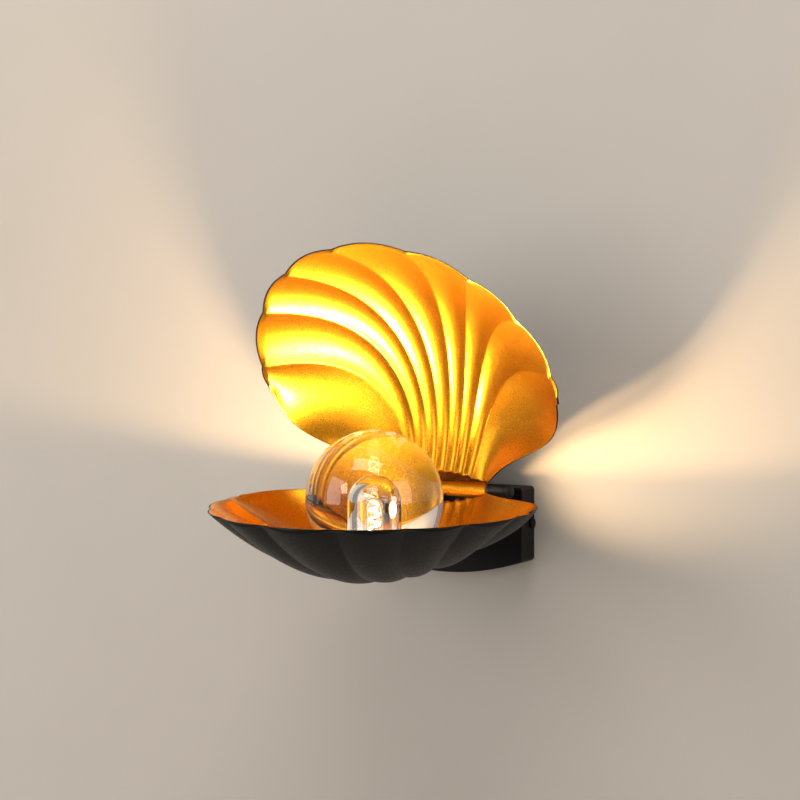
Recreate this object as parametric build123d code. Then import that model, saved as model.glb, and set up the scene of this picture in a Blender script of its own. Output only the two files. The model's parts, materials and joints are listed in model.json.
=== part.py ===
"""Scallop wall light: two ribbed sheet-metal shells hinged at their necks in front of a wall
canopy, with a solid glass ball and its bulb on a seat in the lower shell.

X runs right along the wall, Y into the wall and Z up. The origin is the centre of the wall
bracket's back face, so the wall is the plane Y = 0 and the light stands in front of it at Y < 0.
"""

import os
from math import cos, hypot, radians, sin, sqrt

from build123d import *

# ---------------------------------------------------------------- driving dimensions, mm
# wall canopy and the bracket behind it
canopy_width = 128.0
canopy_height = 55.0        # at the two straight sides
canopy_belly = 11.0         # how far the bottom edge swells below the side corners
canopy_depth = 20.0
canopy_sheet = 1.2
canopy_corner = 3.0
canopy_edge = 0.8           # rounding of the front edges
bracket_height = 44.0
bracket_sheet = 2.0
bracket_flange = 11.0       # how far the end flanges stand off the wall
wall_slot_spacing = 70.0
wall_slot_radius = 2.3
wall_slot_length = 12.0     # overall
supply_hole_radius = 8.0
supply_hole_edge = 3.0      # left below the hole
bracket_corner = 3.0

# hinge line
axis_off_wall = 32.2
axis_below_top = 1.8        # below the canopy's top edge
axis_inside_rim = 1.27      # the axis stands this far inside both shells' rim planes
axle_radius = 3.0
running_clearance = 0.05
barrel_radius = 5.9
barrel_wall = 1.2
barrel_length = 84.0
barrel_clearance = 0.4      # round the barrel, where the necks are cut away for it
bush_length = 9.0
knuckle_radius = 5.2
knuckle_length = 14.6
knuckle_gap = 0.8           # between the barrel's end and the knuckle, for the washer
washer_radius = 4.2
washer_play = 0.1
cap_radius = 4.8
cap_length = 4.9
cap_rounding = 2.6
cap_bore_depth = 2.8
lug_width = 12.0
lug_below_axis = 5.2
lug_below_top = 0.6
lug_screw_below_axis = 3.0
lug_screw_depth = 4.5

# scallop shells, as flat coordinates on the rim plane: (across, away from the line where the
# two shells' rim planes cross)
shell_sheet = 1.2
normal_step = 0.01          # share of a groove to either side of a normal's place
halvings = 30               # in the search for a crown's place
floor_steps = 100           # along a groove, in the search for the floor's highest place
rim_notches = [(30.2, 211.0), (74.4, 189.0), (103.5, 154.8), (119.0, 106.0)]
rim_corner = (119.2, 88.9)
rim_side_pull = (116.3, 30.1)   # the side edge leaves the corner towards this point
neck_side_pull = (74.2, 46.5)   # and reaches the neck from this one
neck_corner = (41.0, 5.0)
neck_middle = 9.5           # the neck's edge is cut back to here in the middle
neck_rib_pitch = 7.7
bowl_depth = 52.0
side_depth_share = 0.69     # the outermost grooves are this much as deep as the middle ones
deepest_shift = 0.806       # under 1 moves the deepest point towards the neck
pull_across = 0.123         # grooves bend over a point this share of the way out to the notch,
pull_across_side = 0.066    # and this much more for the outermost ones;
pull_away = 0.628           # and this share of the way along to it,
pull_away_side = 0.232      # and this much more for the outermost ones
scallop_rise = 0.104        # height of one lobe's arc over its chord
opening_angle = 59.0        # upper shell's rim plane above the horizontal
lower_tilt = 2.0            # lower shell's front edge drops by this angle

# ball, seat, lampholder and bulb
ball_radius = 50.0
ball_reach = 97.8           # centre in front of the hinge axis
bore_radius = 13.0
seat_gap = 0.3
seat_contact_radius = 24.0
seat_height = 10.5          # of the ring that carries the ball, over the cup's base
seat_wall = 2.0
seat_base_thickness = 2.0
seat_base_radius = 14.0
seat_lip = 1.6
seat_edge_room = 1.0        # round the base, where the shell's floor is measured
gasket_height = 3.0
gasket_width = 4.0
gasket_sink = 1.0           # of the ball into the gasket's hollow
holder_radius = 10.0
holder_height = 16.0
holder_rounding = 1.2
pin_spacing = 9.0
pin_radius = 0.7
pin_length = 6.5
pin_play = 0.2
contact_wall = 0.6
bulb_radius = 6.75
bulb_length = 38.0
bulb_wall = 0.9
bulb_base_height = 9.0
bulb_base_depth = 8.0
bulb_travel = 8.0
bulb_stem_radius = 2.0
bulb_stem_height = 3.0
bulb_base_rounding = 1.5
bore_room = 2.0             # left over the bulb's top when it is pulled
filament_radius = 0.9
filament_length = 15.0

# fasteners, strap and wiring
strap_width = 12.0
strap_thickness = 2.0
strap_flange_width = 44.0
strap_flange_height = 15.0
strap_riser = 5.0           # narrow part between the flange and the bend
strap_screw_spacing = 32.0
leaf_width = 76.0
leaf_thickness = 1.2
leaf_lap = 2.5              # over the outside of the upper neck
leaf_foot_share = 0.98      # the leaf meets the barrel this share of its radius off the axis
tongue_reach = 12.0         # of the strap under the lower shell, past the neck's edge
tongue_gap = 0.5
rivet_shares = (0.35, 0.8)  # places of the rivets along the tongue
rivet_radius = 1.6
rivet_head_radius = 3.2
rivet_head_height = 1.2
head_rounding = 0.6         # of a head's height
head_start = 0.85           # the inner head starts this deep in the sheet, which is cut out of it
fit_gap = 0.2               # between pieces that lie on each other's curved faces
screw_radius = 1.75
screw_head_radius = 3.0
screw_head_height = 1.8
nut_radius = 3.2
nut_height = 2.4
stud_radius = 2.5
stud_foot_radius = 5.0
stud_grip = 8.0             # above the cup's base
seat_nut_radius = 4.4
seat_nut_height = 3.0
nut_pocket_radius = 5.0
bracket_play = 0.4
terminal_screw_radius = 1.6
terminal_screw_depth = 3.0
terminal_screw_sunk = 0.5   # of the screw's head under the block's top
earth_screw_x = 24.0
earth_screw_z = 12.0
earth_head_radius = 3.5
earth_washer_radius = 4.5
earth_washer_thickness = 1.0
lead_radius = 1.8
lead_under_barrel = 0.5
lead_off_floor = 1.0
lead_notch_play = 0.4       # round the lead, where it crosses the lower neck's edge
lead_bend = 4.0
lead_tail = 4.0             # inside the canopy
lead_over_base = 0.4        # above the cup's base, where it enters the lampholder
lead_past_lip = 1.0         # level from here to the lampholder
lead_in_holder = 2.0
lead_past_neck = 5.0        # straight on past the neck's edge
lead_route_shares = (0.12, 0.20, 0.27)      # places on the groove that it follows
grommet_radius = 4.6
grommet_flange = 1.0
terminal_width = 26.0
terminal_depth = 10.0
terminal_height = 12.0
side_screw_off_wall = 4.6
side_screw_head_radius = 3.6
side_screw_tail = 3.0       # past the bracket's flange

# ---------------------------------------------------------------- derived places
canopy_top = canopy_height / 2
canopy_bottom = -canopy_height / 2
axis_y = -axis_off_wall
axis_z = canopy_top - axis_below_top
canopy_front = -canopy_depth
ball_y = axis_y - ball_reach
barrel_end = barrel_length / 2
knuckle_start = barrel_end + knuckle_gap
knuckle_end = knuckle_start + knuckle_length
half_opening = radians((opening_angle + lower_tilt) / 2)
middle_rise = radians((opening_angle - lower_tilt) / 2)
cross_to_axis = axis_inside_rim / sin(half_opening)
cross_y = axis_y + cross_to_axis * cos(middle_rise)
cross_z = axis_z - cross_to_axis * sin(middle_rise)

os.makedirs("parts", exist_ok=True)


def save(name, shape):
    """Write one sub-part; its label is the node's name."""
    shape.label = name
    export_step(shape, f"parts/{name}.step")


def bar_x(radius, x0, x1, y, z):
    """Round bar along X."""
    return Pos(x0, y, z) * (Rot(0, 90, 0) * Cylinder(
        radius, x1 - x0, align=(Align.CENTER, Align.CENTER, Align.MIN)))


def bar_y(radius, y0, y1, x, z):
    """Round bar along Y, from y0 up to y1."""
    return Pos(x, y0, z) * (Rot(-90, 0, 0) * Cylinder(
        radius, y1 - y0, align=(Align.CENTER, Align.CENTER, Align.MIN)))


def bar_z(radius, z0, z1, x=0.0, y=0.0):
    """Round bar along Z."""
    return Pos(x, y, z0) * Cylinder(
        radius, z1 - z0, align=(Align.CENTER, Align.CENTER, Align.MIN))


def block(x0, x1, y0, y1, z0, z1):
    """Box between two corners."""
    return Pos(x0, y0, z0) * Box(
        x1 - x0, y1 - y0, z1 - z0, align=(Align.MIN, Align.MIN, Align.MIN))


# ---------------------------------------------------------------- scallop shell
# A groove runs from the neck to each notch of the rim. Between two grooves the sheet swells
# outwards in a round lobe. Groove 0 and the last one are the rim's own side edges.
notches = [(-x, t) for x, t in reversed(rim_notches)] + rim_notches
lobes = len(notches) + 1
last_groove = lobes
middle_lobe = lobes // 2
lead_groove = lobes // 3


def quadratic(a, b, c, s):
    return tuple((1 - s) ** 2 * p + 2 * (1 - s) * s * q + s * s * r for p, q, r in zip(a, b, c))


def cubic(a, b, c, d, s):
    return tuple((1 - s) ** 3 * p + 3 * (1 - s) ** 2 * s * q + 3 * (1 - s) * s * s * r + s ** 3 * w
                 for p, q, r, w in zip(a, b, c, d))


def groove(k, s):
    """Point on groove k of the outer face, at share s of the way from the neck to the rim:
    (across, away from the axis, depth below the rim plane)."""
    if k in (0, last_groove):
        side = -1 if k == 0 else 1
        x, t = cubic(neck_corner, neck_side_pull, rim_side_pull, rim_corner, s)
        return Vector(side * x, t, 0)
    middle = lobes / 2
    spread = (k - middle) / (middle - 1)
    start = ((k - middle) * neck_rib_pitch, neck_corner[1])
    end = notches[k - 1]
    across = pull_across + pull_across_side * spread ** 2
    away = pull_away + pull_away_side * spread ** 2
    pull = (start[0] + across * (end[0] - start[0]), start[1] + away * (end[1] - start[1]))
    x, t = quadratic(start, pull, end, s)
    w = s ** deepest_shift
    deepest = bowl_depth * (1 - (1 - side_depth_share) * spread ** 2)
    return Vector(x, t, deepest * 4 * w * (1 - w))


def outward(a, b, s, k):
    """Outward normal of the sheet on the chord from a to b, kept in the end sections' planes."""
    s0, s1 = max(s - normal_step, 0.0), min(s + normal_step, 1.0)
    along = groove(k, s1) + groove(k + 1, s1) - groove(k, s0) - groove(k + 1, s0)
    if s == 0.0:
        along = Vector(0, 1, 0)
    if s == 1.0:
        along = Vector(0, 0, -1)
    normal = (b - a).cross(along)
    return normal.normalized()


def section(s):
    """Nodes and arc crowns of the outer face, and the same for the inner face, at share s."""
    nodes = [groove(k, s) for k in range(lobes + 1)]
    normals = [outward(nodes[k], nodes[k + 1], s, k) for k in range(lobes)]
    crowns = [(nodes[k] + nodes[k + 1]) * 0.5
              + normals[k] * (scallop_rise * (nodes[k + 1] - nodes[k]).length)
              for k in range(lobes)]
    inner_nodes = []
    for k in range(lobes + 1):
        if k == 0:
            n = normals[0]
        elif k == lobes:
            n = normals[-1]
        else:
            n = (normals[k - 1] + normals[k]).normalized()
        inner_nodes.append(nodes[k] - n * shell_sheet)
    inner_crowns = [crowns[k] - normals[k] * shell_sheet for k in range(lobes)]
    return nodes, crowns, inner_nodes, inner_crowns


def bowl_down(v):
    """Rim-plane coordinates to the part's axes, hinge axis at the origin, bowl hanging down."""
    return Vector(v.X, -v.Y, -v.Z)


def section_wire(s):
    nodes, crowns, inner_nodes, inner_crowns = [[bowl_down(v) for v in row] for row in section(s)]
    edges = [ThreePointArc(nodes[k], crowns[k], nodes[k + 1]).edge() for k in range(lobes)]
    edges.append(Line(nodes[-1], inner_nodes[-1]).edge())
    edges += [ThreePointArc(inner_nodes[k + 1], inner_crowns[k], inner_nodes[k]).edge()
              for k in reversed(range(lobes))]
    edges.append(Line(inner_nodes[0], nodes[0]).edge())
    return Wire(edges)


shell_stations = (0.0, 0.03, 0.08, 0.17, 0.30, 0.45, 0.61, 0.77, 0.90, 1.0)
shell_blank = Solid.make_loft([section_wire(s) for s in shell_stations])

# The hinge axis in the shell's own axes, bowl down
hinge_y = -cross_to_axis * cos(half_opening)
hinge_z = axis_inside_rim

# Each neck's edge is cut back in an arc from corner to corner, and round the barrel.
neck_sag = neck_middle - neck_corner[1]
neck_arc_radius = (neck_corner[0] ** 2 + neck_sag ** 2) / (2 * neck_sag)
neck_arc_y = neck_arc_radius - neck_middle
neck_arc = bar_z(neck_arc_radius, -bowl_depth, bowl_depth, 0, neck_arc_y)
barrel_room = bar_x(barrel_radius + barrel_clearance, -barrel_end - barrel_clearance,
                    barrel_end + barrel_clearance, hinge_y, hinge_z)
shell_body = shell_blank - neck_arc - barrel_room

lower_pose = Pos(0, cross_y, cross_z) * Rot(lower_tilt, 0, 0)
upper_pose = Pos(0, cross_y, cross_z) * Rot(-opening_angle, 0, 0) * Rot(0, 180, 0)


def thick_profile(points, thickness):
    """Closed outline of a bent sheet: a polyline and its copy, offset to the right with mitres."""
    normals = []
    for (a, b), (c, d) in zip(points, points[1:]):
        run = hypot(c - a, d - b)
        normals.append(((d - b) / run, (a - c) / run))
    shifted = []
    for i, (a, b) in enumerate(points):
        n = normals[max(i - 1, 0)]
        m = normals[min(i, len(normals) - 1)]
        share = thickness / (1 + n[0] * m[0] + n[1] * m[1])
        shifted.append((a + (n[0] + m[0]) * share, b + (n[1] + m[1]) * share))
    return points + shifted[::-1]


def bent_sheet(points, thickness, width):
    """Bent sheet from a path of (y, z) points, centred on X = 0."""
    outline = Polyline(*thick_profile(points, thickness), close=True)
    face = Plane.YZ * make_face(outline)
    return extrude(face, width / 2, both=True)


def crown_at(away):
    """Crown of the middle lobe's outer face at a distance from the crossing line, as (y, z)."""
    low, high = 0.0, 0.5
    for _ in range(halvings):
        share = (low + high) / 2
        if section(share)[1][middle_lobe].Y < away:
            low = share
        else:
            high = share
    crown = bowl_down(section(low)[1][middle_lobe])
    return crown.Y, crown.Z


def shifted(a, b, amount):
    """The points a and b of a (y, z) line moved out from the bowl, square to the line."""
    run = hypot(b[0] - a[0], b[1] - a[1])
    n = (-(b[1] - a[1]) / run * amount, (b[0] - a[0]) / run * amount)
    return (a[0] + n[0], a[1] + n[1]), (b[0] + n[0], b[1] + n[1]), n


# The strap's tongue lies under the middle lobe of the lower shell, from the neck's edge forwards.
tongue_start, tongue_end, tongue_shift = shifted(
    crown_at(neck_middle), crown_at(neck_middle + tongue_reach), tongue_gap)
tongue_out = Vector(0, *tongue_shift).normalized()


def rivet(share):
    """Rivet through the tongue and the shell's middle lobe, and the hole for it, bowl down."""
    foot = Vector(0, tongue_start[0] + (tongue_end[0] - tongue_start[0]) * share,
                  tongue_start[1] + (tongue_end[1] - tongue_start[1]) * share)
    pose = Location(Plane(origin=foot, z_dir=tongue_out))
    inside = -tongue_gap - shell_sheet - rivet_head_height
    body = bar_z(rivet_radius, inside, strap_thickness + rivet_head_height)
    body += bar_z(rivet_head_radius, inside, -tongue_gap - shell_sheet * head_start)
    head = bar_z(rivet_head_radius, strap_thickness, strap_thickness + rivet_head_height)
    body += fillet(head.edges().group_by(Axis.Z)[-1], rivet_head_height * head_rounding)
    hole = bar_z(rivet_radius, 2 * inside, 2 * strap_thickness)
    return pose * body, pose * hole


strap_rivets = [rivet(share) for share in rivet_shares]


# ---------------------------------------------------------------- upper, moving body
save("upper_shell", upper_pose * shell_body)

barrel = bar_x(barrel_radius, -barrel_end, barrel_end, axis_y, axis_z)
barrel -= bar_x(barrel_radius - barrel_wall, -barrel_end, barrel_end, axis_y, axis_z)
save("hinge_barrel", barrel)


# The leaf bridges the gap from the barrel to the outside of the upper neck, in the neck's own arc.
leaf_seat, leaf_end, _ = shifted(crown_at(neck_middle), crown_at(neck_middle + leaf_lap), fit_gap)
leaf_foot = (hinge_y, hinge_z - barrel_radius * leaf_foot_share)
leaf = bent_sheet([leaf_end, leaf_seat, leaf_foot], leaf_thickness, leaf_width)
leaf &= bar_z(neck_arc_radius + leaf_lap, -bowl_depth, bowl_depth, 0, neck_arc_y)
leaf -= bar_x(barrel_radius + running_clearance, -barrel_end, barrel_end, hinge_y, hinge_z)
save("hinge_leaf", upper_pose * leaf)

bushes = []
for side in (-1, 1):
    x0, x1 = sorted((side * (barrel_end - bush_length), side * barrel_end))
    bush = bar_x(barrel_radius - barrel_wall, x0, x1, axis_y, axis_z)
    bush -= bar_x(axle_radius + running_clearance, x0, x1, axis_y, axis_z)
    bushes.append(bush)
save("barrel_bushes", Compound(bushes))

# ---------------------------------------------------------------- hinge on the canopy
axle_end = knuckle_end + cap_bore_depth
save("hinge_axle", bar_x(axle_radius, -axle_end, axle_end, axis_y, axis_z))

lug_screw_z = axis_z - lug_screw_below_axis
lug_screw_x = knuckle_start + knuckle_length / 2
washers, caps, lug_screws = [], [], []
for side, name in ((-1, "hinge_knuckle_left"), (1, "hinge_knuckle_right")):
    x0, x1 = sorted((side * knuckle_start, side * knuckle_end))
    knuckle = bar_x(knuckle_radius, x0, x1, axis_y, axis_z)
    knuckle += block(side * lug_screw_x - lug_width / 2, side * lug_screw_x + lug_width / 2,
                     axis_y, canopy_front, axis_z - lug_below_axis, canopy_top - lug_below_top)
    knuckle -= bar_x(axle_radius, x0, x1, axis_y, axis_z)
    knuckle -= bar_y(screw_radius, canopy_front - lug_screw_depth, canopy_front,
                     side * lug_screw_x, lug_screw_z)
    save(name, knuckle)
    x0, x1 = sorted((side * (barrel_end + washer_play), side * (knuckle_start - washer_play)))
    washer = bar_x(washer_radius, x0, x1, axis_y, axis_z)
    washers.append(washer - bar_x(axle_radius, x0, x1, axis_y, axis_z))
    cap = Cylinder(cap_radius, cap_length, align=(Align.CENTER, Align.CENTER, Align.MIN))
    cap = fillet(cap.edges().group_by(Axis.Z)[-1], cap_rounding)
    cap -= Cylinder(axle_radius, cap_bore_depth, align=(Align.CENTER, Align.CENTER, Align.MIN))
    caps.append(Pos(side * knuckle_end, axis_y, axis_z) * (Rot(0, side * 90, 0) * cap))
    screw = bar_y(screw_radius, canopy_front - lug_screw_depth, canopy_front + canopy_sheet,
                  side * lug_screw_x, lug_screw_z)
    screw += bar_y(screw_head_radius, canopy_front + canopy_sheet,
                   canopy_front + canopy_sheet + screw_head_height, side * lug_screw_x, lug_screw_z)
    lug_screws.append(screw)
save("friction_washers", Compound(washers))
save("axle_caps", Compound(caps))
save("knuckle_screws", Compound(lug_screws))

# ---------------------------------------------------------------- strap under the lower shell's neck
def lower_world(v):
    """A shell vector of the lower shell in the part's axes."""
    return (lower_pose * Pos(bowl_down(v))).position


bend, tip = [(lower_pose * Pos(0, *point)).position for point in (tongue_start, tongue_end)]
flange_face = canopy_front - strap_thickness
flange_top = bend.Z - strap_riser
flange_bottom = flange_top - strap_flange_height
strap_path = [(tip.Y, tip.Z), (bend.Y, bend.Z), (canopy_front, bend.Z), (canopy_front, flange_bottom)]
strap = bent_sheet(strap_path, strap_thickness, strap_width)
strap += block(-strap_flange_width / 2, strap_flange_width / 2, flange_face, canopy_front,
               flange_bottom, flange_top)
strap_screw_z = (flange_bottom + flange_top) / 2
strap_screws = []
for side in (-1, 1):
    x = side * strap_screw_spacing / 2
    strap -= bar_y(screw_radius, flange_face, canopy_front, x, strap_screw_z)
    screw = bar_y(screw_radius, flange_face, canopy_front + canopy_sheet + nut_height, x, strap_screw_z)
    screw += bar_y(screw_head_radius, flange_face - screw_head_height, flange_face, x, strap_screw_z)
    strap_screws.append(screw)
for _, hole in strap_rivets:
    strap -= lower_pose * hole
save("shell_strap", strap)
save("strap_screws", Compound(strap_screws))
nuts = []
for side in (-1, 1):
    x = side * strap_screw_spacing / 2
    nut = Pos(x, canopy_front + canopy_sheet, strap_screw_z) * (Rot(-90, 0, 0) * extrude(
        RegularPolygon(nut_radius, 6), nut_height))
    nuts.append(nut - bar_y(screw_radius, canopy_front, 0, x, strap_screw_z))
save("strap_nuts", Compound(nuts))

# ---------------------------------------------------------------- seat on the lower shell's floor
floor_points = [lower_world(v) for i in range(floor_steps) for v in section(i / floor_steps)[2]]
floor_top = max(p.Z for p in floor_points
                if hypot(p.X, p.Y - ball_y) < seat_base_radius + seat_edge_room)
seat_bottom = floor_top + fit_gap
holder_bottom = seat_bottom + seat_base_thickness
holder_top = holder_bottom + holder_height
contact_z = seat_bottom + seat_height
ball_z = contact_z + seat_gap + sqrt(ball_radius ** 2 - seat_contact_radius ** 2)
gasket_bottom = contact_z - gasket_height + gasket_sink
gasket_in = seat_contact_radius - gasket_width / 2
gasket_out = seat_contact_radius + gasket_width / 2
lip_out = gasket_out + seat_lip


def revolved(points):
    """Body of revolution about the ball's upright axis from (radius, height) points."""
    face = Plane.XZ * make_face(Polyline(*points, close=True))
    return Pos(0, ball_y, 0) * revolve(face, Axis.Z)


cup_points = [
    (stud_radius, seat_bottom), (seat_base_radius, seat_bottom),
    (lip_out, gasket_bottom - seat_wall), (lip_out, gasket_bottom + seat_lip),
    (gasket_out, gasket_bottom + seat_lip), (gasket_out, gasket_bottom),
    (gasket_in - seat_lip, gasket_bottom), (gasket_in - seat_lip, gasket_bottom - seat_wall / 2),
    (seat_base_radius - seat_wall, holder_bottom), (stud_radius, holder_bottom)]
gasket = revolved([(gasket_in, gasket_bottom), (gasket_out, gasket_bottom),
                   (gasket_out, gasket_bottom + gasket_height + gasket_width),
                   (gasket_in, gasket_bottom + gasket_height + gasket_width)])
gasket -= Pos(0, ball_y, ball_z) * Sphere(ball_radius + seat_gap)
save("seat_gasket", gasket)

# ---------------------------------------------------------------- lead from the canopy to the lampholder
lead_z = axis_z - barrel_radius - lead_under_barrel - lead_radius
lead_x = section(0.0)[2][lead_groove].X
lead_in = canopy_front + canopy_sheet + lead_tail
lead_route = [(lead_x, lead_in, lead_z), (lead_x, cross_y - neck_middle - lead_past_neck, lead_z)]
for s in lead_route_shares:
    nodes, crowns, inner, _ = section(s)
    up = inner[lead_groove] - nodes[lead_groove]
    v = inner[lead_groove] + up.normalized() * (lead_radius + lead_off_floor)
    p = lower_world(v)
    lead_route.append((p.X, p.Y, p.Z))
lead_end_z = holder_bottom + lead_radius + lead_over_base
last = lead_route[-1]
away = hypot(last[0], last[1] - ball_y)
toward = (last[0] / away, (last[1] - ball_y) / away)
for reach in (lip_out + lead_past_lip, holder_radius - lead_in_holder):
    lead_route.append((toward[0] * reach, ball_y + toward[1] * reach, lead_end_z))
lead_path = FilletPolyline(*lead_route, radius=lead_bend)
lead_start = Plane(origin=lead_path @ 0, z_dir=lead_path % 0)
lead = sweep(lead_start * Circle(lead_radius), path=lead_path)
save("lamp_lead", lead)

# ---------------------------------------------------------------- lampholder, cup and bolt
lead_bore = Plane(origin=lead_route[-1], z_dir=Vector(*lead_route[-2]) - Vector(*lead_route[-1]))
lead_bore_length = lip_out - holder_radius + lead_in_holder
cup = revolved(cup_points)
cup -= lead_bore * Cylinder(lead_radius + fit_gap, lead_bore_length,
                            align=(Align.CENTER, Align.CENTER, Align.MIN))
save("seat_cup", cup)

holder = bar_z(holder_radius, holder_bottom, holder_top, 0, ball_y)
holder = fillet(holder.edges().group_by(Axis.Z)[-1], holder_rounding)
holder -= lead_bore * Cylinder(lead_radius, holder_radius,
                               align=(Align.CENTER, Align.CENTER, Align.MIN))
stud_top = holder_bottom + stud_grip
holder -= bar_z(stud_radius, holder_bottom, stud_top, 0, ball_y)
holder -= bar_z(nut_pocket_radius, holder_bottom, holder_bottom + seat_nut_height, 0, ball_y)
contact_radius = pin_radius + pin_play + contact_wall
contact_bottom = holder_top - pin_length - contact_wall
contacts, pins = [], []
for side in (-1, 1):
    x = side * pin_spacing / 2
    holder -= bar_z(contact_radius, contact_bottom, holder_top, x, ball_y)
    contact = bar_z(contact_radius, contact_bottom, holder_top - contact_wall, x, ball_y)
    contact -= bar_z(pin_radius + pin_play, contact_bottom + contact_wall, holder_top, x, ball_y)
    contacts.append(contact)
    pins.append(bar_z(pin_radius, holder_top - pin_length + pin_play, holder_top + pin_play, x, ball_y))
save("lampholder", holder)
save("holder_contacts", Compound(contacts))

# The stud is welded to the lower shell's floor, so nothing shows under the bowl.
lead_notch = bar_y(lead_radius + lead_notch_play, ball_y, canopy_front, lead_x, lead_z)
neck_side = block(-canopy_width, canopy_width, cross_y - 2 * neck_middle, canopy_front,
                  canopy_bottom, canopy_top)
lower_shell = lower_pose * shell_body - lead_notch.intersect(neck_side)
for _, hole in strap_rivets:
    lower_shell -= lower_pose * hole
save("lower_shell", lower_shell)
save("strap_rivets", Compound([
    (lower_pose * body - lower_shell).solids().sort_by(SortBy.VOLUME)[-1] for body, _ in strap_rivets]))

foot_bottom = seat_bottom - stud_foot_radius
stud = bar_z(stud_foot_radius, foot_bottom, seat_bottom, 0, ball_y) - lower_shell
stud = stud.solids().sort_by(SortBy.VOLUME)[-1]
stud += bar_z(stud_radius, seat_bottom, stud_top, 0, ball_y)
save("seat_stud", stud)
seat_nut = Pos(0, ball_y, holder_bottom) * extrude(RegularPolygon(seat_nut_radius, 6), seat_nut_height)
save("seat_nut", seat_nut - bar_z(stud_radius, holder_bottom, stud_top, 0, ball_y))

# ---------------------------------------------------------------- bulb and ball
base_bottom = holder_top + pin_play
base_top = base_bottom + bulb_base_height
bulb_top = holder_top + bulb_length
save("bulb_pins", Compound(pins))
bulb_base = Pos(0, ball_y, base_bottom) * Box(
    2 * bulb_radius, bulb_base_depth, bulb_base_height, align=(Align.CENTER, Align.CENTER, Align.MIN))
bulb_base = fillet(bulb_base.edges().filter_by(Axis.Z), bulb_base_rounding)
save("bulb_base", bulb_base)


def capsule(radius, bottom, top):
    """Upright round body with a domed top."""
    body = bar_z(radius, bottom, top - radius, 0, ball_y)
    return body + Pos(0, ball_y, top - radius) * Sphere(radius)


bulb_glass = capsule(bulb_radius, base_top, bulb_top)
bulb_glass -= capsule(bulb_radius - bulb_wall, base_top, bulb_top - bulb_wall)
save("bulb_glass", bulb_glass)
stem_top = base_top + bulb_stem_height
filament = bar_z(bulb_stem_radius, base_top, stem_top, 0, ball_y)
filament += bar_z(filament_radius, stem_top, stem_top + filament_length, 0, ball_y)
save("bulb_filament", filament)

bore_top = bulb_top + bulb_travel + bore_room
ball = Pos(0, ball_y, ball_z) * Sphere(ball_radius)
ball -= capsule(bore_radius, ball_z - ball_radius - 1, bore_top)
save("glass_ball", ball)

# ---------------------------------------------------------------- canopy and wall bracket
def canopy_face(inset):
    """Front outline of the canopy, drawn in by the inset; the bottom edge swells in an arc."""
    half = canopy_width / 2 - inset
    top, bottom = canopy_top - inset, canopy_bottom + inset
    outline = Polyline((-half, bottom), (-half, top), (half, top), (half, bottom))
    outline += ThreePointArc((half, bottom), (0, bottom - canopy_belly), (-half, bottom))
    face = make_face(outline)
    return fillet(face.vertices(), canopy_corner - inset)


# The XZ plane faces -Y, so an extrusion from it grows towards the front.
canopy = extrude(Plane.XZ * canopy_face(0), canopy_depth)
canopy = fillet(canopy.edges().group_by(Axis.Y)[0], canopy_edge)
canopy -= extrude(Plane.XZ * canopy_face(canopy_sheet), canopy_depth - canopy_sheet)
for side in (-1, 1):
    canopy -= bar_y(screw_radius, canopy_front - 1, 0, side * lug_screw_x, lug_screw_z)
    canopy -= bar_y(screw_radius, canopy_front - 1, 0, side * strap_screw_spacing / 2, strap_screw_z)
canopy -= bar_y(grommet_radius - grommet_flange, canopy_front - 1, 0, lead_x, lead_z)
canopy -= bar_x(screw_radius, -canopy_width, canopy_width, -side_screw_off_wall, 0)
save("canopy_cover", canopy)

grommet = bar_y(grommet_radius, canopy_front - grommet_flange, canopy_front, lead_x, lead_z)
grommet += bar_y(grommet_radius - grommet_flange, canopy_front - grommet_flange,
                 canopy_front + canopy_sheet + grommet_flange, lead_x, lead_z)
grommet += bar_y(grommet_radius, canopy_front + canopy_sheet,
                 canopy_front + canopy_sheet + grommet_flange, lead_x, lead_z)
grommet -= bar_y(lead_radius, canopy_front - grommet_flange, 0, lead_x, lead_z)
save("lead_grommet", grommet)

bracket_half = canopy_width / 2 - canopy_sheet - bracket_play
bracket = block(-bracket_half, bracket_half, -bracket_sheet, 0, -bracket_height / 2, bracket_height / 2)
bracket = fillet(bracket.edges().filter_by(Axis.Y), bracket_corner)
side_screws = []
for side in (-1, 1):
    x0, x1 = sorted((side * bracket_half, side * (bracket_half - bracket_sheet)))
    bracket += block(x0, x1, -bracket_flange, 0, -bracket_flange, bracket_flange)
    slot = Pos(side * wall_slot_spacing / 2, 0, 0) * extrude(
        Plane.XZ * SlotOverall(wall_slot_length, 2 * wall_slot_radius), bracket_sheet)
    bracket -= slot
    x0, x1 = sorted((side * (bracket_half - bracket_sheet - side_screw_tail), side * canopy_width / 2))
    screw = bar_x(screw_radius, x0, x1, -side_screw_off_wall, 0)
    x0, x1 = sorted((side * canopy_width / 2, side * (canopy_width / 2 + screw_head_height)))
    head = bar_x(side_screw_head_radius, x0, x1, -side_screw_off_wall, 0)
    side_screws.append(screw + head)
bracket -= bar_x(screw_radius, -canopy_width, canopy_width, -side_screw_off_wall, 0)
supply_hole_z = -bracket_height / 2 + supply_hole_radius + supply_hole_edge
bracket -= bar_y(supply_hole_radius, -bracket_sheet, 0, 0, supply_hole_z)
bracket -= bar_y(screw_radius, -bracket_sheet, 0, earth_screw_x, earth_screw_z)
save("wall_bracket", bracket)
save("canopy_screws", Compound(side_screws))

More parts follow.
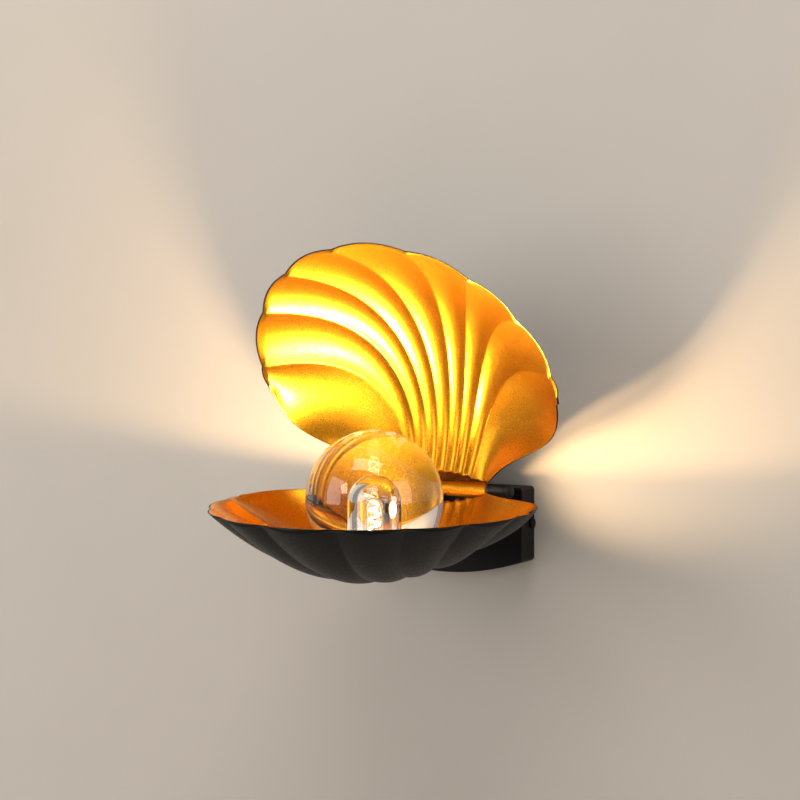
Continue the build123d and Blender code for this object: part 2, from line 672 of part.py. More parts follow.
# ---------------------------------------------------------------- connections inside the canopy
terminal = block(lead_x - terminal_width / 2, lead_x + terminal_width / 2,
                 -bracket_sheet - terminal_depth, -bracket_sheet,
                 lead_z - terminal_height / 2, lead_z + terminal_height / 2)
terminal -= bar_y(lead_radius, canopy_front, lead_in, lead_x, lead_z)
terminal_screws = []
for step in (-1, 0, 1):
    x = lead_x + step * terminal_width / 3
    y = -bracket_sheet - terminal_depth / 2
    top = lead_z + terminal_height / 2
    terminal -= bar_z(terminal_screw_radius, top - terminal_screw_depth, top, x, y)
    terminal_screws.append(
        bar_z(terminal_screw_radius, top - terminal_screw_depth, top - terminal_screw_sunk, x, y))
save("terminal_block", terminal)
save("terminal_screws", Compound(terminal_screws))

earth_face = -bracket_sheet - earth_washer_thickness
earth = bar_y(screw_radius, earth_face, 0, earth_screw_x, earth_screw_z)
earth += bar_y(earth_head_radius, earth_face - screw_head_height, earth_face, earth_screw_x, earth_screw_z)
save("earth_screw", earth)
earth_washer = bar_y(earth_washer_radius, earth_face, -bracket_sheet, earth_screw_x, earth_screw_z)
earth_washer -= bar_y(screw_radius, earth_face, -bracket_sheet, earth_screw_x, earth_screw_z)
save("earth_washer", earth_washer)
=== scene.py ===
"""Looks of the scallop wall light, in metres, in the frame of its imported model.

X runs right along the wall, Y into the wall and Z up. The wall is the plane Y = 0.
"""

import json
import math

import bmesh
import bpy
import numpy as np
from mathutils import Matrix, Vector


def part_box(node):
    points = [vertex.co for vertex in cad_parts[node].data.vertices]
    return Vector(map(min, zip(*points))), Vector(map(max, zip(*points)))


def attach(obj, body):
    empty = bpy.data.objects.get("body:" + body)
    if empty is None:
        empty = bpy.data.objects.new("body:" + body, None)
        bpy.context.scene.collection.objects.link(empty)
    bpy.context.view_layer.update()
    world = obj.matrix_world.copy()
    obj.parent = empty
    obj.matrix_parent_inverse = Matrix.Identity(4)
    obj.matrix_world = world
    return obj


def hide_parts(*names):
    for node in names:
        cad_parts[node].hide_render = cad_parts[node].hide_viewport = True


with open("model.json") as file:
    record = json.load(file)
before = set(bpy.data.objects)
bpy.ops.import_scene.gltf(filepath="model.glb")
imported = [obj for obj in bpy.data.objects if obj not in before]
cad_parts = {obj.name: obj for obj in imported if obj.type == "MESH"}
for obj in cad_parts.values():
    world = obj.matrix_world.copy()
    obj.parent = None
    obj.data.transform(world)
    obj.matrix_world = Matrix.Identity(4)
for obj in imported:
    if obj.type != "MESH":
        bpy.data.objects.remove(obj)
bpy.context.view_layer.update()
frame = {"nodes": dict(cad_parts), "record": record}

MM = 0.001

# ---------------------------------------------------------------- driving values
# Scallop shell, in mm on its rim plane: (across, away from the line where the two rim planes cross)
RIM_NOTCHES = [(30.2, 211.0), (74.4, 189.0), (103.5, 154.8), (119.0, 106.0)]
RIM_CORNER = (119.2, 88.9)
RIM_SIDE_PULL = (116.3, 30.1)
NECK_SIDE_PULL = (74.2, 46.5)
NECK_CORNER = (41.0, 5.0)
NECK_MIDDLE = 9.5           # the neck's edge is cut back to here in the middle
NECK_RIB_PITCH = 7.7
BOWL_DEPTH = 52.0
SIDE_DEPTH_SHARE = 0.69     # depth of the outermost grooves, as a share of the middle's
DEEPEST_SHIFT = 0.806       # below 1 the deepest place lies nearer to the neck
PULL_ACROSS = (0.123, 0.066)    # a groove's bend, as shares of its way: in the middle, extra at the side
PULL_AWAY = (0.628, 0.232)
SCALLOP_RISE = 0.104        # a lobe's height over its grooves, as a share of its width
RIDGE_RADIUS = 0.5          # softens the ridges between lobes
SHELL_SHEET = 1.2
OPENING_ANGLE = 59.0        # degrees, the upper shell's rim plane over the level
LOWER_TILT = 2.0            # degrees, the lower shell's rim plane under the level
BARREL_ROOM = 6.3           # radius cut out of the necks round the barrel
BARREL_ROOM_HALF = 42.4
BARREL_AT = (2.156, 1.27)   # barrel's axis: away from the crossing line, over the rim plane's open side

# Lip at the shell's rim, in mm
LIP_FLARE = 1.3             # how far the inside turns out at the rim
LIP_DEPTH = 2.6             # how deep under the rim plane that begins
LIP_THICKENED = 1.4         # the outside turns out by this many times as much as the inside
LIP_BEVEL_ACROSS = 0.2
LIP_BEVEL_DOWN = 0.25

# How finely a shell is meshed
FINE_STEPS = 600            # steps of the curves that the rows are read from
EVEN_ROWS = 167             # rows from the neck to where the lip's own rows begin
EVEN_ROWS_END = 9           # fine steps before the rim where the even rows end
LIP_ROWS_AT = (6.0, 4.0, 2.0, 0.0)      # fine steps before the rim
LIP_ROWS = 8                # the last rows, which the flare may move
ACROSS_STEPS = 24           # per lobe
SLOPE_STEP = 0.01           # share of a groove over which its direction is taken

# Glass ball and its bore, in metres
BALL_RADIUS = 0.050
BALL_SEGMENTS = 160
BALL_ARC_STEPS = 90
BORE_RADIUS = 0.013
BORE_OVER_BULB = 0.010
BORE_STEPS = 12
BORE_ARC_STEPS = 24
MOUTH_BEVEL = 0.0006
POLE_RADIUS = 1e-7          # below this a ring is one point

# Bulb and its coil, in metres
BULB_RADIUS = 0.00675
BULB_WALL = 0.0009
BULB_SEGMENTS = 140
DOME_ARC_STEPS = 20
DOME_SIDE_STEPS = 24
TWISTS = 7                  # ribs round the bulb, each turning as it climbs
TWIST_RATE = 230.0          # radians per metre of height
TWIST_DEPTH = 0.07          # share of the radius
LOOP_TURNS = 5.5
LOOP_RADIUS = 0.0043
LOOP_TAPER = 0.40           # share of the radius lost at the top
LOOP_POINTS = 220
LOOP_FOOT = 0.0002          # heights over the bulb's lower end: of the wire's start, of the coil's start
LOOP_START = 0.0015
LOOP_UNDER_TOP = 0.0030
WIRE_RADIUS = 0.0005
WIRE_SIDES = 12
WIRE_FIRST_SIDE = (0.3, 0.1, 0.9)       # any direction that the wire's start doesn't run along

# Stage, in metres
STAGE_HALF = 2.5
WALL_BEHIND = 0.0006        # keeps the wall clear of the part's flat back
WALL_MIDDLE_UP = 0.4
FLOOR_BELOW = 1.1
FLOOR_MIDDLE_OUT = 2.4
SUBJECT = (0.0, -0.13, 0.03)        # the studio lights face this

# Camera, as fitted to the photo's 800 pixel frame
CROSSING = Vector((0.0, -0.030, 0.0245))    # middle of the line where the two rim planes cross
FRAME_PX = 800
FOCAL_PX = 4000.0
CAMERA_YAW = 28.6
CAMERA_PITCH = 4.64
CROSSING_AT_PX = (439.3, 489.2)
CROSSING_DISTANCE = 2.978


def add_object(name, data):
    """New object for a mesh, light or camera, linked into the scene."""
    obj = bpy.data.objects.new(name, data)
    bpy.context.collection.objects.link(obj)
    return obj


# ---------------------------------------------------------------- materials
NOISE_LOW, NOISE_HIGH = 0.3, 0.7        # most of a noise's values lie between these
MIX_SHARE, MIX_A, MIX_B, MIX_RESULT = 0, 6, 7, 2    # sockets of a Mix node that mixes colours


class Nodes:
    """A material's node tree with short ways to add and join nodes."""

    def __init__(self, name):
        self.material = bpy.data.materials.new(name)
        self.material.use_nodes = True
        self.tree = self.material.node_tree
        self.shader = self.tree.nodes["Principled BSDF"]
        self.output = self.tree.nodes["Material Output"]

    def add(self, kind, **settings):
        node = self.tree.nodes.new(kind)
        for key, value in settings.items():
            setattr(node, key, value)
        return node

    def join(self, source, target):
        self.tree.links.new(source, target)

    def feed(self, socket, value):
        """Set a socket to a number or a colour, or join another node's output to it."""
        if isinstance(value, tuple):
            socket.default_value = (*value, 1.0)
        elif isinstance(value, (int, float)):
            socket.default_value = value
        else:
            self.join(value, socket)

    def noise(self, scale, detail=2.0, roughness=0.5):
        """Grey noise with about this many lumps per metre."""
        node = self.add("ShaderNodeTexNoise")
        node.inputs["Scale"].default_value = scale
        node.inputs["Detail"].default_value = detail
        node.inputs["Roughness"].default_value = roughness
        self.join(self.add("ShaderNodeTexCoord").outputs["Object"], node.inputs["Vector"])
        return node.outputs["Fac"]

    def ramp(self, source, *stops):
        """Colour ramp from (position, colour) stops."""
        node = self.add("ShaderNodeValToRGB")
        elements = node.color_ramp.elements
        while len(elements) < len(stops):
            elements.new(0.5)
        for element, (position, colour) in zip(elements, stops):
            element.position = position
            element.color = (*colour, 1.0)
        self.join(source, node.inputs["Fac"])
        return node.outputs["Color"]

    def shades(self, source, dark, light):
        """Colour between dark and light, from a noise."""
        return self.ramp(source, (NOISE_LOW, dark), (NOISE_HIGH, light))

    def span(self, source, low, high, from_low=NOISE_LOW, from_high=NOISE_HIGH):
        """Number between low and high, from a noise."""
        node = self.add("ShaderNodeMapRange")
        for key, value in (("From Min", from_low), ("From Max", from_high),
                           ("To Min", low), ("To Max", high)):
            node.inputs[key].default_value = value
        self.join(source, node.inputs["Value"])
        return node.outputs["Result"]

    def mix(self, share, a, b):
        """Colour a with the given share of colour b."""
        node = self.add("ShaderNodeMix", data_type="RGBA")
        for key, value in ((MIX_SHARE, share), (MIX_A, a), (MIX_B, b)):
            self.feed(node.inputs[key], value)
        return node.outputs[MIX_RESULT]

    def bump(self, *layers):
        """Bumps stacked on each other, from (height, strength, distance) layers."""
        normal = None
        for height, strength, distance in layers:
            node = self.add("ShaderNodeBump")
            node.inputs["Strength"].default_value = strength
            node.inputs["Distance"].default_value = distance
            self.join(height, node.inputs["Height"])
            if normal is not None:
                self.join(normal, node.inputs["Normal"])
            normal = node.outputs["Normal"]
        self.join(normal, self.shader.inputs["Normal"])

    def set(self, **values):
        """Feed the shader's sockets, named with _ for each space."""
        for key, value in values.items():
            self.feed(self.shader.inputs[key.replace("_", " ")], value)

    def see_through(self, share, tint=(1.0, 1.0, 1.0)):
        """Let light pass straight through where share is 1, in place of the shader."""
        passing = self.add("ShaderNodeBsdfTransparent")
        self.feed(passing.inputs["Color"], tint)
        mixer = self.add("ShaderNodeMixShader")
        share_in, shader_in, passing_in = mixer.inputs
        self.join(share, share_in)
        self.join(self.shader.outputs[0], shader_in)
        self.join(passing.outputs[0], passing_in)
        self.join(mixer.outputs[0], self.output.inputs["Surface"])


def gold_material():
    """Metallic gold lacquer with a fine sparkling grain."""
    m = Nodes("gold_lacquer")
    base = m.shades(m.noise(38.0, 3.0, 0.55), (0.46, 0.178, 0.002), (0.51, 0.205, 0.004))
    fleck = m.ramp(m.noise(1900.0, 1.0), (0.36, (0.42, 0.16, 0.003)), (0.52, (0.50, 0.20, 0.004)),
                   (0.68, (0.90, 0.58, 0.09)))
    fleck_share = 0.38
    m.set(Base_Color=m.mix(fleck_share, base, fleck), Metallic=1.0,
          Roughness=m.span(m.noise(1100.0), 0.265, 0.335), Coat_Weight=0.05, Coat_Roughness=0.34)
    m.bump((m.noise(1400.0, 1.0), 0.26, 0.00010), (m.noise(55.0), 0.04, 0.0005))
    return m.material


def leaf_painted_shade_material():
    """The same lacquer, dark brown on the hinge's leaf: painted shade for the shadow that the barrel and
    the upper shell's neck cast on the leaf.
    """
    m = Nodes("leaf_painted_shade")
    # these dark browns are painted shade on the hinge's leaf
    m.set(Base_Color=m.shades(m.noise(300.0, 3.0), (0.035, 0.008, 0.001), (0.07, 0.018, 0.002)),
          Metallic=1.0, Roughness=m.span(m.noise(900.0), 0.42, 0.56))
    m.bump((m.noise(1400.0, 1.0), 0.4, 0.0001))
    return m.material


def black_material():
    """Satin black powder coat."""
    m = Nodes("black_coat")
    colour = m.shades(m.noise(45.0, 3.0, 0.6), (0.004, 0.004, 0.004), (0.0065, 0.0062, 0.006))
    m.set(Base_Color=colour, Metallic=0.0, Roughness=m.span(m.noise(600.0), 0.36, 0.52),
          Specular_IOR_Level=0.17)
    m.bump((m.noise(2200.0, 1.0), 0.25, 0.00008), (m.noise(60.0), 0.12, 0.0005))
    return m.material


def edge_material():
    """Edge of the sheet: the black coat, rubbed through in small spots."""
    m = Nodes("rubbed_edge")
    wear = m.noise(160.0, 4.0, 0.75)
    coated, rubbed = 0.63, 0.70
    share = m.ramp(wear, (coated, (0.0, 0.0, 0.0)), (rubbed, (1.0, 1.0, 1.0)))
    m.set(Base_Color=m.mix(share, (0.006, 0.006, 0.006), (0.62, 0.50, 0.33)),
          Metallic=m.span(wear, 0.0, 1.0, coated, rubbed),
          Roughness=m.span(wear, 0.45, 0.30, coated, rubbed), Specular_IOR_Level=0.1)
    m.bump((m.noise(1800.0, 1.0), 0.2, 0.00008))
    return m.material


def clear_glass(name, tint, ior, **glow):
    """Polished glass that lets lamps' light straight through, so that the bulb lights the shells."""
    m = Nodes(name)
    m.set(Base_Color=tint, Roughness=0.0, IOR=ior, Transmission_Weight=1.0, **glow)
    m.bump((m.noise(30.0), 0.03, 0.0004))
    m.see_through(m.add("ShaderNodeLightPath").outputs["Is Shadow Ray"], tint)
    return m.material


def plain_metal(name, dark, light, roughness):
    """Uncoated metal with faint streaks."""
    m = Nodes(name)
    m.set(Base_Color=m.shades(m.noise(300.0, 3.0, 0.6), dark, light), Metallic=1.0,
          Roughness=m.span(m.noise(700.0), roughness - 0.06, roughness + 0.08))
    m.bump((m.noise(900.0), 0.15, 0.0001))
    return m.material


def plain_solid(name, dark, light, roughness):
    """Plastic, rubber or ceramic with a slight grain."""
    m = Nodes(name)
    m.set(Base_Color=m.shades(m.noise(80.0, 3.0), dark, light),
          Roughness=m.span(m.noise(900.0), roughness - 0.05, roughness + 0.08))
    m.bump((m.noise(1440.0), 0.2, 0.0001))
    return m.material


def glow_material():
    """Glowing filament."""
    m = Nodes("filament_glow")
    m.set(Base_Color=(1.0, 0.8, 0.5), Emission_Color=(1.0, 0.72, 0.36), Emission_Strength=13.0)
    return m.material


def plaster():
    """Pale wall and floor, see-through from behind, so that the part's back can be looked at."""
    m = Nodes("pale_plaster")
    m.set(Base_Color=m.shades(m.noise(3.0, 3.0), (0.62, 0.575, 0.525), (0.66, 0.615, 0.565)),
          Roughness=0.9)
    m.see_through(m.add("ShaderNodeNewGeometry").outputs["Backfacing"])
    return m.material


GOLD = gold_material()
LEAF_PAINTED_SHADE = leaf_painted_shade_material()
BLACK = black_material()
EDGE = edge_material()
MATERIALS = {
    "black_paint": BLACK,
    "gold_paint": GOLD,
    "zinc_steel": plain_metal("zinc_steel", (0.50, 0.51, 0.52), (0.66, 0.66, 0.67), 0.34),
    "bronze": plain_metal("brass", (0.62, 0.40, 0.16), (0.78, 0.56, 0.28), 0.30),
    "nylon": plain_solid("nylon", (0.80, 0.79, 0.74), (0.88, 0.87, 0.83), 0.45),
    "ceramic": plain_solid("ceramic", (0.84, 0.82, 0.77), (0.92, 0.90, 0.86), 0.55),
    "silicone": plain_solid("silicone", (0.62, 0.62, 0.61), (0.74, 0.74, 0.73), 0.40),
    "lead_sheath": plain_solid("lead_sheath", (0.022, 0.022, 0.022), (0.035, 0.035, 0.035), 0.48),
    "clear_glass": clear_glass("solid_glass", (0.995, 0.992, 0.985), 1.5),
    "filament_glow": glow_material(),
}
BULB_GLASS = clear_glass("bulb_glass", (0.99, 0.98, 0.96), 1.47,
                         Emission_Color=(1.0, 0.80, 0.50), Emission_Strength=0.06)


def dress(obj, *materials):
    """Give an object these materials, in place of its own."""
    obj.data.materials.clear()
    for material in materials:
        obj.data.materials.append(material)


slot_of = {part["node"]: part["material_slot"] for part in frame["record"]["subparts"]}
for node, obj in frame["nodes"].items():
    dress(obj, MATERIALS[slot_of[node]])
# the hinge's leaf gets the dark brown painted shade
dress(frame["nodes"]["hinge_leaf"], LEAF_PAINTED_SHADE)


# ---------------------------------------------------------------- scallop shell
NOTCHES = [(-x, t) for x, t in reversed(RIM_NOTCHES)] + RIM_NOTCHES
LOBES = len(NOTCHES) + 1


def groove(k, s):
    """Points of groove k of the outer face for shares s of the way to the rim, in mm.

    Each point is (across, away from the crossing line, depth under the rim plane). The first and
    the last groove are the shell's sides, which lie in the rim plane.
    """
    if k in (0, LOBES):
        side = -1 if k == 0 else 1
        x, t = [(1 - s) ** 3 * p + 3 * (1 - s) ** 2 * s * q + 3 * (1 - s) * s * s * r + s ** 3 * w
                for p, q, r, w in zip(NECK_CORNER, NECK_SIDE_PULL, RIM_SIDE_PULL, RIM_CORNER)]
        return np.stack([side * x, t, np.zeros_like(s)], axis=-1)
    middle = LOBES / 2
    spread = (k - middle) / (middle - 1)
    start = ((k - middle) * NECK_RIB_PITCH, NECK_CORNER[1])
    end = NOTCHES[k - 1]
    across = PULL_ACROSS[0] + PULL_ACROSS[1] * spread ** 2
    away = PULL_AWAY[0] + PULL_AWAY[1] * spread ** 2
    pull = (start[0] + across * (end[0] - start[0]), start[1] + away * (end[1] - start[1]))
    x, t = [(1 - s) ** 2 * p + 2 * (1 - s) * s * q + s * s * r for p, q, r in zip(start, pull, end)]
    w = s ** DEEPEST_SHIFT
    deepest = BOWL_DEPTH * (1 - (1 - SIDE_DEPTH_SHARE) * spread ** 2)
    return np.stack([x, t, deepest * 4 * w * (1 - w)], axis=-1)


def unit(v):
    return v / np.linalg.norm(v, axis=-1, keepdims=True)


def neck_start(path):
    """Index along a fine path where the sheet begins, past the neck's edge and clear of the barrel."""
    x, t, depth = path.T
    cut = NECK_MIDDLE - NECK_CORNER[1]
    radius = (NECK_CORNER[0] ** 2 + cut ** 2) / (2 * cut)
    edge = NECK_MIDDLE - (radius - np.sqrt(np.maximum(radius ** 2 - x ** 2, 0.0)))
    from_barrel = np.hypot(t - BARREL_AT[0], depth + BARREL_AT[1])
    gone = (np.abs(x) <= NECK_CORNER[0]) & (t < edge)
    gone |= (np.abs(x) < BARREL_ROOM_HALF) & (from_barrel < BARREL_ROOM)
    taken = np.nonzero(gone)[0]
    return taken[-1] + 1 if len(taken) else 0


def shell_grid():
    """Outer face as a grid of points in mm, along by across, with its outward normals."""
    s = np.linspace(0.0, 1.0, FINE_STEPS + 1)
    before, after = np.maximum(s - SLOPE_STEP, 0), np.minimum(s + SLOPE_STEP, 1)
    lip_rows = FINE_STEPS - np.array(LIP_ROWS_AT)
    shares = (1 - np.cos(np.pi * np.arange(ACROSS_STEPS + 1) / ACROSS_STEPS)) / 2
    columns = []
    for k in range(LOBES):
        a, b = groove(k, s), groove(k + 1, s)
        along = groove(k, after) + groove(k + 1, after) - groove(k, before) - groove(k + 1, before)
        along[0] = (0, 1, 0)
        along[-1] = (0, 0, -1)
        normal = unit(np.cross(b - a, along))
        chord = np.linalg.norm(b - a, axis=-1, keepdims=True)
        soft = np.pi * RIDGE_RADIUS / chord
        for u in shares if k == LOBES - 1 else shares[:-1]:
            arch = np.sqrt((4 * u * (1 - u)) ** 2 + soft ** 2) - soft
            arch /= np.sqrt(1 + soft ** 2) - soft
            path = a + (b - a) * u + normal * SCALLOP_RISE * chord * arch
            even_rows = np.linspace(neck_start(path), FINE_STEPS - EVEN_ROWS_END, EVEN_ROWS)
            places = np.concatenate([even_rows, lip_rows])
            columns.append(np.stack([np.interp(places, np.arange(FINE_STEPS + 1), path[:, c])
                                     for c in range(3)], axis=-1))
    grid = np.stack(columns, axis=1)
    along = np.gradient(grid, axis=0)
    across = np.gradient(grid, axis=1)
    along[-1] = (0, 0, -1)
    return grid, unit(np.cross(across, along))


def shell_mesh(name, pose, body, node):
    """Shell with a black outside, a gold inside and a rubbed rim, in place of the CAD node."""
    outer, normals = shell_grid()
    inner = outer - normals * SHELL_SHEET
    flare = LIP_FLARE * np.clip(1 - outer[..., 2:] / LIP_DEPTH, 0, 1) ** 2
    flare[:-LIP_ROWS] = 0       # the neck's edge is as near to the rim plane, and keeps its shape
    outer = outer + normals[-1] * flare * LIP_THICKENED
    inner = inner + normals[-1] * flare
    lip = outer[-1] - normals[-1] * (SHELL_SHEET - LIP_BEVEL_ACROSS)
    lip[:, 2] = 0.0
    inner[-1, :, 2] = LIP_BEVEL_DOWN
    count_a, count_b = outer.shape[:2]
    points = np.concatenate([outer.reshape(-1, 3), inner.reshape(-1, 3), lip])
    offset = count_a * count_b      # from a point of the outside to its partner on the inside
    outside, inside, edge = 0, 1, 2     # the material's index
    faces, slots = [], []
    for i in range(count_a - 1):
        for j in range(count_b - 1):
            p = i * count_b + j
            quad = (p, p + count_b, p + count_b + 1, p + 1)
            faces += [quad, tuple(offset + q for q in reversed(quad))]
            slots += [outside, inside]
    for j in range(count_b - 1):
        p = (count_a - 1) * count_b + j
        lip_at = 2 * offset + j
        faces += [(j, j + 1, offset + j + 1, offset + j),
                  (p + 1, p, lip_at, lip_at + 1),
                  (lip_at + 1, lip_at, offset + p, offset + p + 1)]
        slots += [edge, edge, inside]
    for i in range(count_a - 1):
        p = i * count_b
        q = p + count_b - 1
        faces += [(p + count_b, p, offset + p, offset + p + count_b),
                  (q, q + count_b, offset + q + count_b, offset + q)]
        slots += [edge, edge]
    mesh = bpy.data.meshes.new(name)
    mesh.from_pydata([pose @ Vector((x * MM, -t * MM, -d * MM)) for x, t, d in points], [], faces)
    obj = add_object(name, mesh)
    dress(obj, BLACK, GOLD, EDGE)
    mesh.polygons.foreach_set("material_index", slots)
    mesh.polygons.foreach_set("use_smooth", [slot != edge for slot in slots])
    mesh.update()
    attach(obj, body)
    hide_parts(node)


lower_pose = Matrix.Translation(CROSSING) @ Matrix.Rotation(math.radians(LOWER_TILT), 4, "X")
upper_pose = (Matrix.Translation(CROSSING) @ Matrix.Rotation(math.radians(-OPENING_ANGLE), 4, "X")
              @ Matrix.Rotation(math.pi, 4, "Y"))
shell_mesh("lower_shell_skin", lower_pose, "base", "lower_shell")
shell_mesh("upper_shell_skin", upper_pose, "upper", "upper_shell")


# ---------------------------------------------------------------- ball, bulb and coil
def ring_body(name, rings, capped=False):
    """Smooth body whose faces join each ring of points to the next; a ring of one point is a pole."""
    bm = bmesh.new()
    rings = [[bm.verts.new(point) for point in ring] for ring in rings]
    count = max(len(ring) for ring in rings)
    for a, b in zip(rings, rings[1:]):
        for i in range(count):
            j = (i + 1) % count
            quad = (a[i % len(a)], a[j % len(a)], b[j % len(b)], b[i % len(b)])
            corners = list(dict.fromkeys(quad))
            if len(corners) > 2:
                bm.faces.new(corners).smooth = True
    if capped:
        bm.faces.new(list(reversed(rings[0])))
        bm.faces.new(rings[-1])
    bmesh.ops.recalc_face_normals(bm, faces=bm.faces)
    mesh = bpy.data.meshes.new(name)
    bm.to_mesh(mesh)
    bm.free()
    return add_object(name, mesh)


def round_angles(count):
    return [2 * math.pi * i / count for i in range(count)]


def lathe(name, profile, centre, segments):
    """Body turned about the upright axis through centre, from (radius, height) points."""
    rings = []
    for radius, height in profile:
        if radius < POLE_RADIUS:
            rings.append([(centre[0], centre[1], height)])
        else:
            rings.append([(centre[0] + radius * math.cos(a), centre[1] + radius * math.sin(a), height)
                          for a in round_angles(segments)])
    return ring_body(name, rings)


def tube(name, path, radius, sides):
    """Closed round tube that follows a path of points."""
    rings = []
    side = Vector(WIRE_FIRST_SIDE).normalized()
    for i, point in enumerate(path):
        ahead = (path[min(i + 1, len(path) - 1)] - path[max(i - 1, 0)]).normalized()
        side = (side - ahead * side.dot(ahead)).normalized()
        up = ahead.cross(side)
        rings.append([point + (side * math.cos(a) + up * math.sin(a)) * radius
                      for a in round_angles(sides)])
    return ring_body(name, rings, capped=True)


def sphere_arc(radius, centre_z, from_angle, steps):
    """(radius, height) points on a circle, from an angle to its top; degrees up from straight down."""
    angles = [math.radians(from_angle + (180 - from_angle) * i / steps) for i in range(steps + 1)]
    arc = [(radius * math.sin(a), centre_z - radius * math.cos(a)) for a in angles]
    return arc[:-1] + [(0.0, arc[-1][1])]


def dome(radius, top, bottom):
    """Profile of a round-topped tube, from its top centre down to its open end."""
    arc = sphere_arc(radius, top - radius, 90, DOME_ARC_STEPS)
    side = [(radius, top - radius + (bottom - top + radius) * i / DOME_SIDE_STEPS)
            for i in range(1, DOME_SIDE_STEPS + 1)]
    return arc[::-1] + side


ball_low, ball_high = [Vector(v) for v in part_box("glass_ball")]
bulb_high = Vector(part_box("bulb_glass")[1])
bulb_low = Vector(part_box("bulb_glass")[0])
ball_axis = ((ball_low.x + ball_high.x) / 2, (ball_low.y + ball_high.y) / 2)

mouth = math.degrees(math.asin((BORE_RADIUS + MOUTH_BEVEL) / BALL_RADIUS))
outside = sphere_arc(BALL_RADIUS, ball_high.z - BALL_RADIUS, mouth, BALL_ARC_STEPS)
bore_low = outside[0][1] + MOUTH_BEVEL
bore_high = bulb_high.z + BORE_OVER_BULB - BORE_RADIUS      # where the bore's round end begins
bore = [(BORE_RADIUS, bore_low + (bore_high - bore_low) * i / BORE_STEPS) for i in range(BORE_STEPS)]
bore += sphere_arc(BORE_RADIUS, bore_high, 90, BORE_ARC_STEPS)
ball = lathe("glass_ball_clear", outside[::-1] + bore, ball_axis, BALL_SEGMENTS)
dress(ball, MATERIALS["clear_glass"])
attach(ball, "ball")
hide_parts("glass_ball")

bulb_outside = dome(BULB_RADIUS, bulb_high.z, bulb_low.z)
bulb_inside = dome(BULB_RADIUS - BULB_WALL, bulb_high.z - BULB_WALL, bulb_low.z)
bulb = lathe("bulb_glass_twisted", bulb_outside + bulb_inside[::-1], ball_axis, BULB_SEGMENTS)
for vertex in bulb.data.vertices:
    x, y = vertex.co.x - ball_axis[0], vertex.co.y - ball_axis[1]
    ridge = 0.5 + 0.5 * math.cos(TWISTS * math.atan2(y, x) + TWIST_RATE * vertex.co.z)
    scale = 1.0 - TWIST_DEPTH * ridge
    vertex.co.x, vertex.co.y = ball_axis[0] + x * scale, ball_axis[1] + y * scale
dress(bulb, BULB_GLASS)
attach(bulb, "bulb")
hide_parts("bulb_glass")

loop_low, loop_high = bulb_low.z + LOOP_START, bulb_high.z - LOOP_UNDER_TOP
loops = [Vector((*ball_axis, bulb_low.z + LOOP_FOOT))]
for i in range(LOOP_POINTS):
    share = i / (LOOP_POINTS - 1)
    turn = 2 * math.pi * LOOP_TURNS * share
    radius = LOOP_RADIUS * (1.0 - LOOP_TAPER * share ** 2)
    loops.append(Vector((ball_axis[0] + radius * math.cos(turn), ball_axis[1] + radius * math.sin(turn),
                         loop_low + (loop_high - loop_low) * share)))
filament = tube("bulb_filament_loops", loops, WIRE_RADIUS, WIRE_SIDES)
dress(filament, MATERIALS["filament_glow"])
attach(filament, "bulb")
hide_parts("bulb_filament")


# ---------------------------------------------------------------- stage, lights and camera
def stage_plane(name, matrix, material):
    bm = bmesh.new()
    bmesh.ops.create_grid(bm, x_segments=1, y_segments=1, size=STAGE_HALF)
    mesh = bpy.data.meshes.new(name)
    bm.to_mesh(mesh)
    bm.free()
    obj = add_object(name, mesh)
    obj.matrix_world = matrix
    dress(obj, material)
    return obj


PLASTER = plaster()
WALL = stage_plane("wall", Matrix.Translation((0, WALL_BEHIND, WALL_MIDDLE_UP))
                   @ Matrix.Rotation(math.radians(90), 4, "X"), PLASTER)
FLOOR = stage_plane("floor", Matrix.Translation((0, -FLOOR_MIDDLE_OUT, -FLOOR_BELOW)), PLASTER)


def add_light(name, kind, watts, colour, place, aim):
    """Light that shines from place along aim."""
    data = bpy.data.lights.new(name, kind)
    data.energy = watts
    data.color = colour
    obj = add_object(name, data)
    obj.location = place
    obj.rotation_euler = aim.to_track_quat("-Z", "Y").to_euler()
    return obj


def studio_light(name, watts, colour, place, size):
    """Soft box that faces the part."""
    obj = add_light(name, "AREA", watts, colour, place, Vector(SUBJECT) - Vector(place))
    obj.data.shape = "RECTANGLE"
    obj.data.size, obj.data.size_y = size


studio_light("key_left", 16, (1.0, 0.97, 0.93), place=(-1.33, -1.57, 0.44), size=(1.0, 1.3))
studio_light("fill_right", 9, (1.0, 0.97, 0.94), place=(1.75, -0.45, 0.46), size=(1.0, 1.2))
studio_light("top", 20, (1.0, 0.96, 0.90), place=(0.1, -1.1, 1.9), size=(1.6, 0.8))


def group_of(name, members):
    group = bpy.data.collections.new(name)
    for member in members:
        group.objects.link(member)
    return group


def bulb_light(name, watts, colour, receivers, place, half_angle, blend, radius, target=None,
               blockers=None):
    """Light of the bulb on the receivers alone, upwards or to a target, shaded by blockers or by all."""
    aim = Vector(target) - Vector(place) if target else Vector((0.0, 0.0, 1.0))
    obj = add_light(name, "SPOT", watts, colour, place, aim)
    obj.data.shadow_soft_size = radius
    obj.data.spot_size = math.radians(2 * half_angle)
    obj.data.spot_blend = blend
    obj.light_linking.receiver_collection = group_of(name + "_lit", receivers)
    if blockers:
        obj.light_linking.blocker_collection = group_of(name + "_shaded_by", blockers)


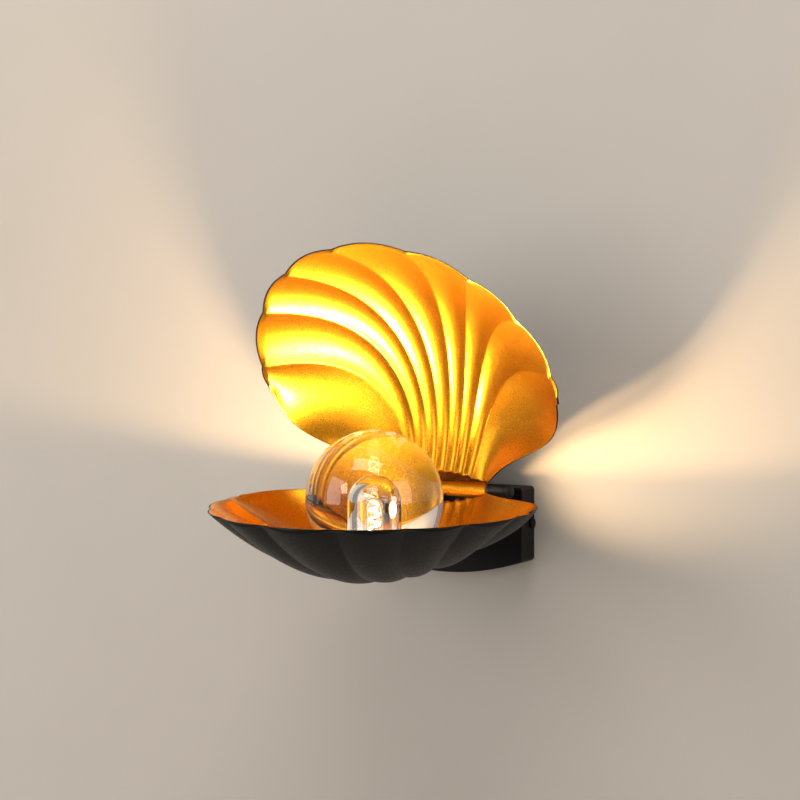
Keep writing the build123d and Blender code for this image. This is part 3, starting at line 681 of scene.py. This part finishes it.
stage_pieces = [WALL, FLOOR]
lamp_pieces = [o for o in bpy.context.scene.objects if o.type == "MESH" and o not in stage_pieces]
WARM = (1.0, 0.66, 0.32)
bulb_y = ball_axis[1]
bulb_light("bulb_on_lamp", 11.2, (1.0, 0.90, 0.58), lamp_pieces, place=(0.018, bulb_y, 0.022),
           half_angle=77, blend=0.8, radius=0.006, target=(-0.016, bulb_y, 0.122))
bulb_light("bulb_on_floor", 9.0, (1.0, 0.80, 0.50), lamp_pieces, place=(0.0, bulb_y + 0.002, 0.004),
           half_angle=38, blend=0.5, radius=0.005, target=(0.0, bulb_y + 0.052, -0.028))
bulb_light("bulb_on_wall", 3.6, WARM, stage_pieces, place=(-0.010, bulb_y - 0.034, 0.014),
           half_angle=88, blend=0.12, radius=0.024)
bulb_light("bulb_on_wall_right", 2.0, WARM, stage_pieces, place=(-0.0145, -0.1426, -0.033),
           half_angle=26, blend=0.8, radius=0.008, target=(0.185, 0.0, 0.085),
           blockers=[bpy.data.objects["upper_shell_skin"]])

world = bpy.data.worlds.new("studio")
world.use_nodes = True
world.node_tree.nodes["Background"].inputs["Color"].default_value = (0.80, 0.76, 0.70, 1.0)
world.node_tree.nodes["Background"].inputs["Strength"].default_value = 0.35
bpy.context.scene.world = world


def add_camera():
    """Camera at the photo's viewing angle, with the shells' crossing at its place in the frame."""
    yaw, pitch = math.radians(CAMERA_YAW), math.radians(CAMERA_PITCH)
    ahead = Vector((-math.sin(yaw) * math.cos(pitch), math.cos(yaw) * math.cos(pitch), -math.sin(pitch)))
    right = Vector((math.cos(yaw), math.sin(yaw), 0.0))
    down = ahead.cross(right)
    aside, below = [(px - FRAME_PX / 2) / FOCAL_PX * CROSSING_DISTANCE for px in CROSSING_AT_PX]
    place = CROSSING - right * aside - down * below - ahead * CROSSING_DISTANCE
    data = bpy.data.cameras.new("camera")
    data.sensor_width = 36.0
    data.lens = FOCAL_PX * data.sensor_width / FRAME_PX
    data.clip_end = 50.0
    camera = add_object("camera", data)
    camera.matrix_world = (Matrix.Translation(place)
                           @ Matrix((right, -down, -ahead)).transposed().to_4x4())
    bpy.context.scene.camera = camera


add_camera()
bpy.context.scene.view_settings.view_transform = "Standard"
